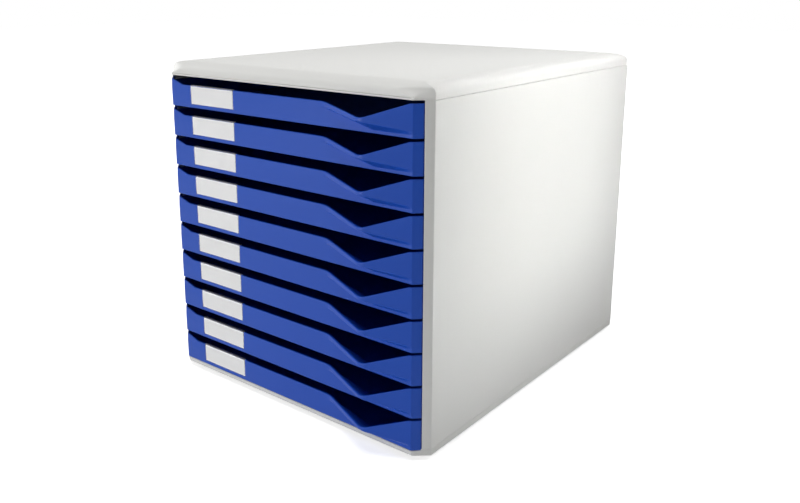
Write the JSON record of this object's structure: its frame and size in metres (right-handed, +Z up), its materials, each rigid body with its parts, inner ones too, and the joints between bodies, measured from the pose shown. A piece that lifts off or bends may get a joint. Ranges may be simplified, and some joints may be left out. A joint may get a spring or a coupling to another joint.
{
  "type": "desktop drawer organizer",
  "caption": "Desktop drawer organizer: a pale grey plastic case with shallow blue drawers that slide out, each with a finger grip and a label behind a clear clip.",
  "frame": {"origin": "On the surface that the feet stand on, under the middle of the object's bounding box.", "axes": "+X to the right across the front, +Y from the drawer fronts to the back, +Z up."},
  "size_m": [0.291, 0.352, 0.291],
  "materials": {
    "case_plastic": "satin",
    "drawer_plastic": "satin",
    "card_paper": "matt white card",
    "clear_plastic": "clear",
    "foot_rubber": "matt"
  },
  "bodies": {
    "case": {"base_tray": "case_plastic", "top_cover": "case_plastic", "left_side_wall": "case_plastic", "right_side_wall": "case_plastic", "rear_panel": "case_plastic", "rubber_feet": "foot_rubber"},
    "drawer_body_01": {"drawer_01": "drawer_plastic", "label_card_01": "card_paper", "label_clip_01": "clear_plastic"},
    "drawer_body_02": {"drawer_02": "drawer_plastic", "label_card_02": "card_paper", "label_clip_02": "clear_plastic"},
    "drawer_body_03": {"drawer_03": "drawer_plastic", "label_card_03": "card_paper", "label_clip_03": "clear_plastic"},
    "drawer_body_04": {"drawer_04": "drawer_plastic", "label_card_04": "card_paper", "label_clip_04": "clear_plastic"},
    "drawer_body_05": {"drawer_05": "drawer_plastic", "label_card_05": "card_paper", "label_clip_05": "clear_plastic"},
    "drawer_body_06": {"drawer_06": "drawer_plastic", "label_card_06": "card_paper", "label_clip_06": "clear_plastic"},
    "drawer_body_07": {"drawer_07": "drawer_plastic", "label_card_07": "card_paper", "label_clip_07": "clear_plastic"},
    "drawer_body_08": {"drawer_08": "drawer_plastic", "label_card_08": "card_paper", "label_clip_08": "clear_plastic"},
    "drawer_body_09": {"drawer_09": "drawer_plastic", "label_card_09": "card_paper", "label_clip_09": "clear_plastic"},
    "drawer_body_10": {"drawer_10": "drawer_plastic", "label_card_10": "card_paper", "label_clip_10": "clear_plastic"}
  },
  "joints": [
    {"name": "drawer_slide_01", "type": "slide", "parent": "case", "child": "drawer_body_01", "axis": [0, -1, 0], "range_m": [0, 0.24]},
    {"name": "drawer_slide_02", "type": "slide", "parent": "case", "child": "drawer_body_02", "axis": [0, -1, 0], "range_m": [0, 0.24]},
    {"name": "drawer_slide_03", "type": "slide", "parent": "case", "child": "drawer_body_03", "axis": [0, -1, 0], "range_m": [0, 0.24]},
    {"name": "drawer_slide_04", "type": "slide", "parent": "case", "child": "drawer_body_04", "axis": [0, -1, 0], "range_m": [0, 0.24]},
    {"name": "drawer_slide_05", "type": "slide", "parent": "case", "child": "drawer_body_05", "axis": [0, -1, 0], "range_m": [0, 0.24]},
    {"name": "drawer_slide_06", "type": "slide", "parent": "case", "child": "drawer_body_06", "axis": [0, -1, 0], "range_m": [0, 0.24]},
    {"name": "drawer_slide_07", "type": "slide", "parent": "case", "child": "drawer_body_07", "axis": [0, -1, 0], "range_m": [0, 0.24]},
    {"name": "drawer_slide_08", "type": "slide", "parent": "case", "child": "drawer_body_08", "axis": [0, -1, 0], "range_m": [0, 0.24]},
    {"name": "drawer_slide_09", "type": "slide", "parent": "case", "child": "drawer_body_09", "axis": [0, -1, 0], "range_m": [0, 0.24]},
    {"name": "drawer_slide_10", "type": "slide", "parent": "case", "child": "drawer_body_10", "axis": [0, -1, 0], "range_m": [0, 0.24]}
  ]
}
